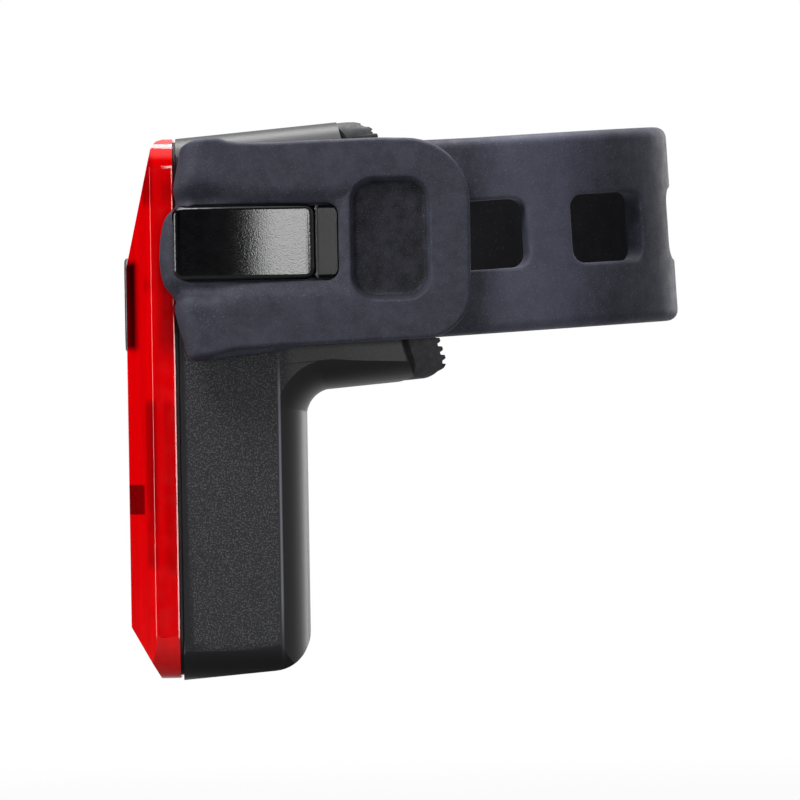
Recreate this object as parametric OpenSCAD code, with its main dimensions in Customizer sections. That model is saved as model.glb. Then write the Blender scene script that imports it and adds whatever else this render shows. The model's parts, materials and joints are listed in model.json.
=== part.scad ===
// Bike rear light with a ladder strap for a round seatpost.
// The lens faces -X, the seatpost stands at the origin and +Z is up.

/* [Seatpost] */
// Radius of the seatpost that the saddle fits
post_r = 13.6; // [12.9:0.1:14.4]
// Lean of the seatpost, top towards the lens
post_lean = 16; // [12:1:20]

/* [Light head] */
// Width of the lens and the housing
head_w = 30; // [29:0.5:34]
// Depth of the lens's bottom edge below the clamp axis
head_drop = 51.2; // [50:0.1:60]
// Distance from the clamp axis to the parting line
seam_x = 33.9; // [33:0.5:38]
// Radius of the top corners
corner_top_r = 3.5; // [3:0.25:5]
// Radius of the bottom corners
corner_bottom_r = 5; // [3.5:0.25:7]

/* [Lens] */
// Depth of the lens from the parting line
lens_d = 5.95; // [5:0.05:8]
// Depth of the straight side walls
lens_side_d = 2.9; // [2:0.1:4]
// Width of the bevel beside the front face
lens_bevel_w = 5; // [3:0.5:7]
// Wall of the lens
lens_wall = 1.6; // [1.2:0.1:2]
// Depth of the lens at its top edge
lens_top_d = 2.5; // [2:0.1:4]
// End of the slanted top face, below the clamp axis
lens_slant_end = 3; // [2:0.5:4]
// Height of the chin below the front face
lens_chin_h = 6.1; // [5:0.1:12]
// Depth of the lens at its bottom edge
lens_chin_d = 2.4; // [1:0.1:3]
// Thickness of the gasket behind the lens
seal_t = 0.36; // [0.2:0.02:0.8]

/* [Button] */
// Top of the key, below the clamp axis
button_drop = 1.5; // [1:0.25:2]
// Height of the key
button_h = 11.1; // [9:0.1:12]
// Width of the key
button_w = 11; // [9:0.5:13]
// Thickness of the key
button_t = 1.5; // [1.2:0.1:1.8]
// How far the key stands out of the lens
button_proud = 0.25; // [0.2:0.05:0.8]
// Travel of the key
button_travel = 0.6; // [0.3:0.05:0.8]
// Radius of the key's stem
stem_r = 2; // [1.5:0.1:2.5]

/* [Indicator] */
// Centre of the indicator window, below the clamp axis
indicator_drop = 30; // [27:0.5:33]
// Width of the indicator window
indicator_w = 7; // [5:0.5:9]
// Height of the indicator window
indicator_h = 4.3; // [3:0.1:5]

/* [Housing] */
// Depth of the tub from the parting line
tub_d = 15.1; // [14:0.1:17]
// Wall of the tub
tub_wall = 2; // [1.6:0.1:2.4]
// Slope of the tub's underside
bottom_rise = 5; // [4:0.1:9]
// Rounding of the tub's back edges and the arm's lower edges
back_edge_r = 6; // [4.5:0.1:7]
// Angle of the crease where that rounding meets the sides
back_crease = 25; // [15:1:35]
// Length of the taper beside the parting line
taper_l = 1.3; // [0.8:0.1:2]
// Depth of the taper beside the parting line
taper_d = 0.3; // [0.1:0.05:0.35]
// Rounding of the heel at the tub's bottom
heel_r = 4.4; // [2:0.1:5]
// Height of the arm
arm_h = 31.2; // [29:0.2:34]
// Slope of the arm
arm_rise = 5; // [3:0.5:7]
// Fillet between the tub's back and the arm
arm_fillet_r = 3.2; // [2:0.1:5]
// Width of the arm at the saddle
arm_end_w = 27.4; // [26:0.2:29]

/* [Saddle pad] */
// Thickness of the pad
pad_t = 1.95; // [1.6:0.05:2.4]
// Width of the pad
pad_w = 24.4; // [23:0.2:25]
// Height of the pad
pad_h = 31; // [28:0.2:31]
// Spacing of the pad's ribs
rib_pitch = 1.05; // [0.9:0.01:1.8]
// Depth of the grooves between the ribs
rib_depth = 0.2; // [0.15:0.05:0.8]

/* [Strap] */
// Width of the strap
strap_w = 23; // [21:0.5:25]
// Thickness of the strap
strap_t = 2.8; // [2.4:0.1:3.2]
// Slope of the loop
strap_lean = 3; // [1:0.5:4]
// Reach of the loop behind the clamp axis, to its outer face
loop_reach = 24.9; // [23.5:0.1:28]
// Radius of the loop's long bends
loop_side_r = 30; // [28:0.5:34]
// Angle of each long bend
loop_side_angle = 50; // [48:0.5:54]
// Length of a ladder hole
hole_l = 10; // [9:0.1:11]
// Height of a ladder hole
hole_h = 8.1; // [7.8:0.1:9]
// Corner radius of a ladder hole
hole_r = 1.6; // [1:0.1:2.4]
// Spacing of the ladder holes
hole_pitch = 15.5; // [14.5:0.1:16]

/* [Strap tail] */
// Free end of the tail behind the clamp axis
tail_end = 0.8; // [-0.4:0.1:3]
// Top of the tail at the fold
tail_top = 12.4; // [11.6:0.1:13]
// Bottom of the tail at the fold, below the clamp axis
tail_bottom = 13.4; // [12.6:0.1:14]
// Bottom of the tail beside the tongue, below the clamp axis
tail_waist = 12.4; // [12:0.1:13]
// Half the height of the tail at its free end
tail_end_half = 11.45; // [11:0.05:11.9]
// Corner radius at the free end
tail_corner_r = 5.5; // [3:0.1:8]
// Width of the thumb recess at its rim
thumb_w = 9.5; // [8:0.1:10.5]
// Height of the thumb recess at its rim
thumb_h = 14.5; // [12:0.1:16]
// Depth of the thumb recess
thumb_depth = 1.5; // [0.8:0.1:1.8]

/* [Hooks] */
// Length of the hook's tongue
tongue_l = 16.9; // [15:0.1:17]
// Height of the hook's tongue
tongue_h = 8.8; // [8:0.1:9.4]
// Thickness of the tongue at its root
tongue_t = 2.5; // [2:0.1:3]
// Distance from the clamp axis to the tongue's root
tongue_root = 17.3; // [17.2:0.1:18]
// Length of the neck beside the tongue
neck_l = 2.5; // [2:0.1:2.6]
// Height of the neck's foot in the ladder hole
foot_h = 5.6; // [4:0.1:5.8]

/* [Electronics] */
// Thickness of the circuit board
board_t = 1.2; // [0.8:0.1:1.6]
// Thickness of the battery cell
cell_t = 7.8; // [6:0.1:8]
// Width of the battery cell
cell_w = 18.6; // [15:0.1:20]
// Length of the battery cell
cell_l = 33; // [28:0.5:34]
// Rows of LEDs
led_rows = 4; // [2:1:4]
// Spacing of the LED rows
led_pitch = 6.4; // [5.8:0.1:6.6]
// Spacing of the two LED columns
led_gauge = 11; // [9.4:0.1:12]

/* [Port cover] */
// Length of the cover, across the light
cover_l = 13.6; // [13:0.1:14.6]
// Width of the cover
cover_w = 6.2; // [5.6:0.1:6.6]
// Thickness of the cover
cover_t = 1; // [0.8:0.05:1.1]

/* [Hidden] */
$fn = 64;

// Clearances: pieces that seat, pieces that press in, pieces that run, and cutters that pass through
seat = 0.05;
press_gap = 0.05;
run_gap = 0.08;
lay_gap = 0.2;
pass = 1;

// Head: half width of the lens and of the housing, which stands in by a hair, front of the lens,
// both sides of the gasket, back of the tub, middle of the arm's height, top at the parting line,
// chin, rounding of the lens's top edge, and how far the tub's bottom stands below the lens
half_w = head_w / 2;
flank = half_w - 0.03;
lens_front = -(seam_x + lens_d);
lens_back = -(seam_x + seal_t / 2);
tub_front = -(seam_x - seal_t / 2);
tub_back = -(seam_x - tub_d);
arm_mid = -0.3;
head_top = (arm_mid + arm_h / 2 - seam_x * sin(arm_rise)) / cos(arm_rise);
chin_z = lens_chin_h - head_drop;
brow_r = 1.2;
bottom_lip = 0.25;

// Arm: centre of the fillet below it
fillet_x = tub_back + arm_fillet_r;
fillet_z = (arm_mid - arm_h / 2 - arm_fillet_r + fillet_x * sin(arm_rise)) / cos(arm_rise);

// Saddle: back of the pad, the arm's end in the post's frame, a groove off the pad's sides, and its plug
pad_back_r = post_r + pad_t;
pad_groove = 0.6;
arm_end = -sqrt(pow(pad_back_r, 2) - pow(pad_w / 2, 2)) - pad_groove;
pad_corner_r = 2;
plug_w = 14;
plug_h = 14;
plug_d = 3;
pad_span = pad_h + 2 * pad_back_r * sin(post_lean - arm_rise);
rib_count = floor(pad_span / rib_pitch) + 2;
rib_crest = 0.4;

// Strap: layers counted outwards from the side of the housing, slot and waist of the tail, lift of the loop
strap_in = half_w + lay_gap;
strap_mid = strap_in + strap_t / 2;
upper_in = strap_in + strap_t + lay_gap;
upper_out = upper_in + strap_t;
fold_d = (strap_in + upper_out) / 2;
fold_r = (upper_out - strap_in) / 2;
tongue_tip = -(tongue_root + tongue_l);
fold_x = tongue_tip + 1;
slot_h = tongue_h + 0.6;
slot_end = neck_l - tongue_root + 0.3;
waist_x = fold_x + tongue_l / 2;
loop_lift = 0.3;

// Loop: two long bends and one tight bend at the far end
loop_end_r = (strap_mid - loop_side_r * (1 - cos(loop_side_angle))) / cos(loop_side_angle);
loop_apex = loop_reach - strap_t / 2;
loop_end_x = loop_apex - loop_end_r;
loop_start = loop_end_x - (loop_side_r - loop_end_r) * sin(loop_side_angle);
side_run = loop_side_r * loop_side_angle * PI / 180;
end_run = loop_end_r * (90 - loop_side_angle) * PI / 180;
bend_steps = 12;
first_hole = -tongue_root + neck_l + 1.7 - loop_start;
anchor_end = tongue_root + 6;
anchor_r = 4;

// Electronics stacked back from the parting line
board_front = -(seam_x - 0.9);
board_back = board_front + board_t;
board_inset = tub_wall + 0.7;
button_z = -(button_drop + button_h / 2);
well_wall = 1.5;
well_floor = button_t + button_travel + 0.2 - button_proud;
well_back = lens_front + well_floor + 1.2;
switch_side = 6;
switch_t = 1.9;
stem_end = board_front - seat - switch_t - button_travel - 0.1;
plunger_r = 1.3;
plunger_l = 1.3;
led_side = 3;
led_t = 1.3;
first_led = 17.5;
reflector_d = 2.7;
reflector_w = 20.6;
reflector_top = 14.4;
reflector_h = 26.6;
cup_r = 2.4;
cup_mouth_r = 2.75;
screw_y = 9;
screw_edge = 6.2;
screw_zs = [head_top - screw_edge, screw_edge - head_drop];
boss_r = 2.3;
screw_r = 0.95;
screw_head_r = 1.9;
screw_head_t = 1.2;
screw_l = 6;
chip_t = 0.9;
chip_side = 4.4;
small_chip = 3;
chip_y = 6.5;
chip_step = 3.2;
chip_inset = 5;
chip_top = head_top - board_inset - chip_inset;
chips = [
  [-chip_y, chip_top - chip_step, chip_side],
  [chip_y, chip_top - chip_step, chip_side],
  [0, chip_top, small_chip]
];

// Charging socket and the cover below it
socket_w = 9;
socket_t = 3.2;
socket_l = 7.6;
socket_shell = 0.3;
blade_w = 6.7;
blade_t = 0.7;
socket_x = board_back + seat + socket_t / 2;
socket_mouth = -(head_drop - tub_wall - 0.8);
port_slot_w = socket_w + 0.8;
port_slot_t = socket_t + 0.8;
cover_gap = 0.35;
plug_depth = 0.8;
anchor_w = 3;
anchor_l = 2.2;

// Battery: the cell stands above the socket, with foam behind it and leads on top
foam_t = 1.6;
foam_inset = 1;
cell_gap = 2.4;
cell_back = tub_back - tub_wall - foam_t;
cell_top = socket_mouth + socket_l + cell_gap + cell_l;
cell_corner_r = 1.5;
lead_r = 0.55;
lead_bend = 2;
lead_y = 2.6;
lead_x = cell_back - cell_t / 2 - lead_r;

// Height of the tub's underside at a distance along X
function bottom_z(x) = -head_drop - bottom_lip + (x + seam_x) * tan(bottom_rise);

// Point on the strap's middle line, on the near side, at a length along it from the first bend
function loop_turn(s) =
  s <= 0 ? 0
  : s <= side_run ? s / loop_side_r * 180 / PI
  : loop_side_angle + (s - side_run) / loop_end_r * 180 / PI;
function loop_point(s) =
  s <= 0 ? [loop_start + s, -strap_mid]
  : s <= side_run
    ? [loop_start + loop_side_r * sin(loop_turn(s)), -strap_mid + loop_side_r * (1 - cos(loop_turn(s)))]
    : [loop_end_x + loop_end_r * sin(loop_turn(s)), -loop_end_r * cos(loop_turn(s))];

// Points of a round corner
function corner(x, z, r, from) =
  [for (i = [0:8]) [x + r * cos(from + i * 90 / 8), z + r * sin(from + i * 90 / 8)]];

// Outline seen from the front, with Y across and Z up, drawn out along X
module along_x(from, to) {
  translate([from, 0, 0]) rotate([90, 0, 90]) linear_extrude(to - from) children();
}

// Outline seen from the near side, with X across and Z up, drawn out along Y
module along_y(from, to) {
  translate([0, to, 0]) rotate([90, 0, 0]) linear_extrude(to - from) children();
}

module rounded_rect(w, h, r) {
  square([w - 2 * r, h], center = true);
  square([w, h - 2 * r], center = true);
  for (x = [-1, 1], y = [-1, 1])
    translate([x * (w / 2 - r), y * (h / 2 - r)]) circle(r);
}

module post_frame() {
  rotate([0, -post_lean, 0]) children();
}

module arm_frame() {
  rotate([0, -arm_rise, 0]) children();
}

module strap_frame() {
  translate([0, 0, loop_lift]) rotate([0, -strap_lean, 0]) children();
}

// Frame on the tub's underside below the socket, with its own z into the tub
module port_frame() {
  translate([socket_x, 0, bottom_z(socket_x)]) rotate([0, -bottom_rise, 0]) children();
}

// Front outline of the head, drawn in by a wall
module head_outline(inset) {
  w = half_w - inset;
  top = head_top - inset;
  bottom = inset - head_drop;
  top_r = corner_top_r - inset;
  bottom_r = corner_bottom_r - inset;
  translate([-w, bottom + bottom_r]) square([2 * w, top - top_r - bottom - bottom_r]);
  translate([top_r - w, 0]) square([2 * (w - top_r), top]);
  translate([bottom_r - w, bottom]) square([2 * (w - bottom_r), -bottom]);
  for (side = [-1, 1]) {
    translate([side * (w - top_r), top - top_r]) circle(top_r);
    translate([side * (w - bottom_r), bottom + bottom_r]) circle(bottom_r);
  }
}

// Lens as a solid, with its faces drawn in by a wall
module lens_form(inset) {
  front = lens_front + inset;
  crease = -(seam_x + lens_side_d) + inset;
  w = half_w - inset;
  brow = inset - seam_x - lens_top_d;
  slant = (lens_d - lens_top_d) / (head_top + lens_slant_end);
  intersection() {
    along_x(front, lens_back + (inset > 0 ? pass : 0)) head_outline(inset);
    along_y(-half_w, half_w) polygon([
      [brow + brow_r, head_top],
      [brow + brow_r / 4, head_top - brow_r / 4],
      [brow - slant * brow_r, head_top - brow_r],
      [front, -lens_slant_end],
      [front, chin_z],
      [inset - seam_x - lens_chin_d, -head_drop],
      [pass - seam_x, -head_drop],
      [pass - seam_x, head_top]
    ]);
    translate([0, 0, -head_drop]) linear_extrude(head_drop + head_top) polygon([
      [pass - seam_x, -w],
      [crease, -w],
      [front, lens_bevel_w - w],
      [front, w - lens_bevel_w],
      [crease, w],
      [pass - seam_x, w]
    ]);
  }
}

module button_outline(grow) {
  translate([0, button_z]) rounded_rect(button_w + 2 * grow, button_h + 2 * grow, 2.5 + grow);
}

module indicator_outline(grow) {
  translate([0, -indicator_drop]) rounded_rect(indicator_w + 2 * grow, indicator_h + 2 * grow, 0.8);
}

module lens() {
  color("crimson") difference() {
    union() {
      difference() {
        lens_form(0);
        lens_form(lens_wall);
      }
      intersection() {
        along_x(lens_front, well_back) button_outline(well_wall);
        lens_form(0);
      }
    }
    along_x(lens_front - pass, lens_front + well_floor) button_outline(run_gap + 0.12);
    translate([lens_front, 0, button_z]) rotate([0, 90, 0]) cylinder(lens_d, r = stem_r + run_gap);
    along_x(lens_front - pass, lens_front + lens_wall + pass) indicator_outline(press_gap);
  }
}

module lens_seal() {
  color("dimgray") along_x(lens_back, tub_front) difference() {
    head_outline(0.4);
    head_outline(lens_wall - 0.1);
  }
}

module mode_button() {
  color("dimgray") {
    along_x(lens_front - button_proud, lens_front - button_proud + button_t) button_outline(0);
    translate([lens_front, 0, button_z]) rotate([0, 90, 0]) cylinder(stem_end - lens_front, r = stem_r);
  }
}

module switch_plunger() {
  color("black") translate([stem_end, 0, button_z]) rotate([0, 90, 0]) cylinder(plunger_l, r = plunger_r);
}

module tact_switch() {
  color("silver") difference() {
    translate([board_front - seat - switch_t, -switch_side / 2, button_z - switch_side / 2])
      cube([switch_t, switch_side, switch_side]);
    translate([board_front - seat - switch_t - pass, 0, button_z]) rotate([0, 90, 0])
      cylinder(switch_t - 0.4 + pass, r = plunger_r + press_gap);
  }
}

module indicator_window() {
  color("black") along_x(lens_front, lens_front + lens_wall) indicator_outline(0);
}

module indicator_led() {
  color("white") translate([board_front - seat - led_t, -led_side / 4, -indicator_drop - led_side / 4])
    cube([led_t, led_side / 2, led_side / 2]);
}

// Places of the LEDs, across and up
module at_leds() {
  for (row = [0:led_rows - 1], side = [-1, 1])
    translate([board_front - seat, side * led_gauge / 2, -first_led - row * led_pitch]) children();
}

module leds() {
  color("mistyrose") at_leds() translate([-led_t, -led_side / 2, -led_side / 2])
    cube([led_t, led_side, led_side]);
}

module reflector() {
  color("white") difference() {
    translate([0, 0, -reflector_top - reflector_h / 2])
      along_x(board_front - seat - reflector_d, board_front - seat)
        rounded_rect(reflector_w, reflector_h, 2.5);
    at_leds() translate([0.01, 0, 0]) rotate([0, -90, 0])
      cylinder(reflector_d + 0.02, r1 = cup_r, r2 = cup_mouth_r);
    translate([0, 0, -indicator_drop]) along_x(board_front - reflector_d - pass, board_front)
      rounded_rect(led_side, led_side, 0.5);
  }
}

module at_screws() {
  for (z = screw_zs, side = [-1, 1])
    translate([0, side * screw_y, z]) children();
}

module circuit_board() {
  color("seagreen") difference() {
    along_x(board_front, board_back) head_outline(board_inset);
    at_screws() translate([board_front - pass, 0, 0]) rotate([0, 90, 0])
      cylinder(board_t + 2 * pass, r = screw_r + 0.15);
  }
}

module driver_chips() {
  color("black") for (chip = chips)
    translate([board_back + seat, chip[0] - chip[2] / 2, chip[1] - chip[2] / 2])
      cube([chip_t, chip[2], chip[2]]);
}

module board_screws() {
  color("silver") at_screws() translate([board_front - seat, 0, 0]) rotate([0, 90, 0]) {
    translate([0, 0, -screw_head_t]) cylinder(screw_head_t, r = screw_head_r);
    cylinder(screw_l, r = screw_r);
  }
}

module battery_cell() {
  color("silver") translate([cell_back - cell_t / 2, 0, cell_top - cell_l]) linear_extrude(cell_l)
    rounded_rect(cell_t, cell_w, cell_corner_r);
}

module battery_foam() {
  color("gray") translate([cell_back + seat, foam_inset - cell_w / 2, foam_inset + cell_top - cell_l])
    cube([foam_t - 2 * seat, cell_w - 2 * foam_inset, cell_l - 2 * foam_inset]);
}

// One lead: up from the cell, round a bend and into the board
module lead() {
  straight = lead_x - lead_bend - board_back - seat;
  translate([0, 0, cell_top + seat]) {
    cylinder(lead_bend, r = lead_r);
    translate([-lead_bend, 0, lead_bend]) rotate([90, 0, 0]) rotate_extrude(angle = 90)
      translate([lead_bend, 0]) circle(lead_r);
    translate([-lead_bend - straight, 0, 2 * lead_bend]) rotate([0, 90, 0]) cylinder(straight, r = lead_r);
  }
}

module battery_leads() {
  color("red") for (side = [-1, 1])
    translate([lead_x, side * lead_y, 0]) lead();
}

module usb_socket() {
  color("silver") translate([socket_x, 0, socket_mouth]) {
    difference() {
      linear_extrude(socket_l) rounded_rect(socket_t, socket_w, 1.2);
      translate([0, 0, -pass]) linear_extrude(socket_l - 1.5 + pass)
        rounded_rect(socket_t - 2 * socket_shell, socket_w - 2 * socket_shell, 1);
    }
    translate([-blade_t / 2, -blade_w / 2, 1]) cube([blade_t, blade_w, socket_l - 2]);
  }
}

// Slot for the socket's mouth, with the cover's recess round it
module port_cut() {
  port_frame() {
    translate([0, 0, -pass]) linear_extrude(tub_wall + 2 * pass)
      rounded_rect(port_slot_t, port_slot_w, 1.4);
    translate([0, 0, -pass]) linear_extrude(cover_t + 0.1 + pass)
      rounded_rect(cover_w + 2 * cover_gap, cover_l + 2 * cover_gap, 1.2);
    translate([-anchor_w / 2 - press_gap, cover_l / 2, -pass])
      cube([anchor_w + 2 * press_gap, cover_gap + anchor_l + press_gap, cover_t + press_gap + pass]);
  }
}

module port_cover() {
  color("dimgray") port_frame() {
    linear_extrude(cover_t) rounded_rect(cover_w, cover_l, 0.9);
    translate([0, 0, cover_t - 0.1]) linear_extrude(plug_depth + 0.1)
      rounded_rect(port_slot_t - 2 * cover_gap, port_slot_w - 2 * cover_gap, 1);
  }
}

module cover_anchor() {
  color("dimgray") port_frame() translate([-anchor_w / 2, cover_l / 2 + 0.1, 0])
    cube([anchor_w, anchor_l + cover_gap - 0.1, cover_t]);
}

// Section through the tub or the arm, x in from the back, whose round edges meet the sides at a crease
module back_section(depth, w) {
  flat = w - back_edge_r * cos(back_crease);
  intersection() {
    translate([0, -w]) square([depth, 2 * w]);
    union() {
      translate([0, -flat]) square([depth, 2 * flat]);
      translate([back_edge_r, -w]) square([depth - back_edge_r, 2 * w]);
      for (side = [-1, 1]) translate([back_edge_r, side * flat]) circle(back_edge_r);
    }
  }
}

// Plan of the head's sides, tapered beside the parting line, as wide as end_w where it reaches end_x
module side_plan(end_x, end_w) {
  w = flank;
  polygon([
    [tub_front, taper_d - w],
    [tub_front + taper_l, -w],
    [fillet_x, -w],
    [end_x, -end_w / 2],
    [end_x, end_w / 2],
    [fillet_x, w],
    [tub_front + taper_l, w],
    [tub_front, w - taper_d]
  ]);
}

// Tub below the arm
module tub() {
  w = flank;
  heel_x = tub_back - heel_r;
  heel_z = bottom_z(heel_x) + heel_r / cos(bottom_rise);
  heel_start = bottom_rise - 90;
  heel_steps = 12;
  intersection() {
    translate([tub_back, 0, -head_drop - pass]) linear_extrude(head_drop + 2 * pass)
      mirror([1, 0]) back_section(tub_back - tub_front, w);
    translate([0, 0, -head_drop - pass]) linear_extrude(head_drop + 2 * pass) side_plan(0, 2 * flank);
    along_y(-w - pass, w + pass) polygon(concat(
      [[tub_back + pass, pass], [tub_front - pass, pass], [tub_front - pass, bottom_z(tub_front - pass)]],
      [for (i = [0:heel_steps]) let (a = heel_start * (1 - i / heel_steps))
        [heel_x + heel_r * cos(a), heel_z + heel_r * sin(a)]],
      [[tub_back + pass, heel_z + heel_r]]
    ));
    along_x(tub_front - pass, tub_back + pass) translate([0, -bottom_lip]) head_outline(0);
  }
}

// Arm from the parting line to the saddle
module arm() {
  w = flank;
  intersection() {
    arm_frame() along_x(-2 * seam_x, 0) {
      translate([0, arm_mid - arm_h / 2]) rotate(90) back_section(arm_h - corner_top_r, w);
      translate([corner_top_r - w, 0]) square([2 * (w - corner_top_r), arm_mid + arm_h / 2]);
      for (side = [-1, 1])
        translate([side * (w - corner_top_r), arm_mid + arm_h / 2 - corner_top_r]) circle(corner_top_r);
    }
    translate([0, 0, -arm_h]) linear_extrude(2 * arm_h) side_plan(0, arm_end_w);
  }
}

// Fillet between the tub's back and the arm, with the same rounded edges, let in by a little
module arm_fillet() {
  let_in = 0.04;
  w = flank - let_in;
  reach = 1.45 * (arm_fillet_r + back_edge_r) - arm_fillet_r;
  translate([fillet_x, 0, fillet_z]) rotate([90, 0, 0]) rotate([0, 0, 90 + arm_rise])
    rotate_extrude(angle = 90 - arm_rise) translate([arm_fillet_r + let_in, 0]) back_section(reach, w);
}

// Plug behind the pad, and its socket in the arm
module pad_plug(grow) {
  post_frame() translate([-pad_back_r - plug_d - grow, -plug_w / 2 - grow, -plug_h / 2 - grow])
    cube([plug_d + 2 + grow, plug_w + 2 * grow, plug_h + 2 * grow]);
}

module housing_cavity() {
  back = tub_back - tub_wall;
  intersection() {
    along_x(tub_front - pass, back) head_outline(tub_wall);
    along_y(-half_w, half_w) polygon([
      [tub_front - pass, arm_h],
      [tub_front - pass, bottom_z(tub_front - pass) + tub_wall],
      [back, bottom_z(back) + tub_wall],
      [back, arm_h]
    ]);
  }
}

module board_bosses() {
  at_screws() translate([board_back, 0, 0]) rotate([0, 90, 0]) difference() {
    cylinder(tub_back - tub_wall - board_back + 0.1, r = boss_r);
    translate([0, 0, -pass]) cylinder(screw_l + pass, r = screw_r + press_gap);
  }
}

module rear_housing() {
  color("#1b1c1f") {
    difference() {
      union() {
        tub();
        arm();
        arm_fillet();
      }
      housing_cavity();
      post_frame() translate([arm_end, -half_w - pass, -2 * arm_h])
        cube([2 * seam_x, head_w + 2 * pass, 4 * arm_h]);
      post_frame() translate([0, 0, -arm_h]) cylinder(2 * arm_h, r = pad_back_r + seat);
      pad_plug(press_gap);
      port_cut();
      hook_foot(-1, press_gap);
      hook_foot(1, press_gap);
    }
    board_bosses();
  }
}

// Foot of a hook, from its socket in the arm up to the neck
module hook_foot(side, grow) {
  depth = 3.5;
  top = upper_in + 0.5;
  translate([-tongue_root - grow, side > 0 ? half_w - depth - grow : -top, -foot_h / 2 - grow])
    cube([neck_l - 0.2 + 2 * grow, top - half_w + depth + grow, foot_h + 2 * grow]);
}

// Hook on the near side: a tongue with a crowned face, a lower neck with chamfered edges and a foot
module hook() {
  crown_r = 48;
  neck_t = 0.62 * tongue_t;
  neck_h = tongue_h - 0.3;
  neck_chamfer = 0.35;
  groove_w = 0.3;
  groove_d = 0.5;
  tongue_mid = -tongue_root - tongue_l / 2;
  neck_overlap = 1.5;
  intersection() {
    translate([tongue_mid, 0, 0]) along_y(-upper_in - tongue_t, -upper_in)
      rounded_rect(tongue_l, tongue_h, 1.2);
    translate([tongue_mid, crown_r - upper_in - tongue_t, -tongue_h])
      cylinder(2 * tongue_h, r = crown_r, $fn = 360);
  }
  difference() {
    intersection() {
      translate([-tongue_root + (neck_l - neck_overlap) / 2, 0, 0]) along_y(-upper_in - neck_t, -upper_in)
        rounded_rect(neck_l + neck_overlap, neck_h, 1.1);
      along_x(-tongue_root - 2 * neck_overlap, neck_l) polygon([
        [pass - upper_in, -neck_h / 2],
        [pass - upper_in, neck_h / 2],
        [neck_chamfer - upper_in - neck_t, neck_h / 2],
        [-upper_in - neck_t, neck_h / 2 - neck_chamfer],
        [-upper_in - neck_t, neck_chamfer - neck_h / 2],
        [neck_chamfer - upper_in - neck_t, -neck_h / 2]
      ]);
    }
    translate([-tongue_root, -upper_in - neck_t - pass, -tongue_h])
      cube([groove_w, groove_d + pass, 2 * tongue_h]);
  }
  hook_foot(-1, 0);
}

module near_hook() {
  color("#101114") hook();
}

module far_hook() {
  color("#101114") mirror([0, 1, 0]) hook();
}

// Section of the ribbed pad, out from the post's axis
module pad_section() {
  low = -rib_count * rib_pitch / 2;
  polygon(concat(
    [[pad_back_r, low], [post_r + rib_depth, low]],
    [for (i = [0:rib_count - 1], p = [
      [rib_depth, 0.15],
      [0, 0.5 - rib_crest / 2 / rib_pitch],
      [0, 0.5 + rib_crest / 2 / rib_pitch],
      [rib_depth, 0.85]
    ]) [post_r + p[0], low + (i + p[1]) * rib_pitch]],
    [[post_r + rib_depth, -low], [pad_back_r, -low]]
  ));
}

module saddle_pad() {
  color("#202124") {
    intersection() {
      post_frame() rotate([0, 0, 110]) rotate_extrude(angle = 140, $fn = 128) pad_section();
      arm_frame() along_x(-2 * pad_back_r, 0) translate([0, arm_mid]) rounded_rect(pad_w, pad_h, pad_corner_r);
    }
    difference() {
      pad_plug(0);
      post_frame() translate([0, 0, -pad_h]) cylinder(2 * pad_h, r = pad_back_r - 0.3);
    }
  }
}

// Near half of one face of the strap, from beyond the fold to the apex, a distance out from its middle line
function half_face(out) = [
  for (s = concat([fold_x - 2 * pass - loop_start], [for (i = [0:bend_steps]) i * side_run / bend_steps],
    [for (i = [1:bend_steps]) side_run + i * end_run / bend_steps]))
    loop_point(s) + out * [sin(loop_turn(s)), -cos(loop_turn(s))]
];

// The same face on the far side, from the apex to the anchored end
function far_face(near) = [
  for (i = [len(near) - 2:-1:0]) [i > 0 ? near[i][0] : -anchor_end, -near[i][1]]
];

module strap_plan() {
  outer = half_face(strap_t / 2);
  inner = half_face(-strap_t / 2);
  back = concat(inner, far_face(inner));
  polygon(concat(outer, far_face(outer), [for (i = [len(back) - 1:-1:0]) back[i]]));
}

// Ladder hole at a length along the loop
module ladder_hole(s) {
  translate(concat(loop_point(s), 0)) rotate([0, 0, loop_turn(s)])
    along_y(-2 * strap_t, 2 * strap_t) rounded_rect(hole_l, hole_h, hole_r);
}

// What is cut off a corner of the anchored end
module anchor_corner(side) {
  along_y(strap_in - pass, strap_in + strap_t + pass) difference() {
    translate([-anchor_end - pass, side > 0 ? strap_w / 2 - anchor_r : -strap_w / 2 - pass])
      square([anchor_r + pass, anchor_r + pass]);
    translate([anchor_r - anchor_end, side * (strap_w / 2 - anchor_r)]) circle(anchor_r);
  }
}

module strap_loop() {
  color("#2b2d35") difference() {
    strap_frame() difference() {
      translate([0, 0, -strap_w / 2]) linear_extrude(strap_w) strap_plan();
      for (i = [0:3]) ladder_hole(first_hole + i * hole_pitch);
      translate([0, 2 * strap_mid, 0]) ladder_hole(first_hole);
      anchor_corner(-1);
      anchor_corner(1);
    }
    translate([fold_x - strap_w, -upper_in - pass, -strap_w]) cube([strap_w, strap_t + 2 * pass, 2 * strap_w]);
  }
}

// Left edge of the fold, seen from the near side: it swells round the tongue's tip
module fold_edge() {
  out = tongue_tip - 0.68 * strap_t;
  shoulder = 0.28 * strap_t;
  step = tongue_h / 10;
  polygon([
    [fold_x + 0.01, tail_top],
    [fold_x - shoulder / 3, tail_top - step],
    [fold_x - shoulder, 8 * step],
    [out + shoulder, 5 * step],
    [out, step],
    [out, -3 * step],
    [out + shoulder, -6 * step],
    [fold_x - shoulder, -8 * step],
    [fold_x - shoulder / 8, -10 * step],
    [fold_x + 0.01, -tail_bottom]
  ]);
}

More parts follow.
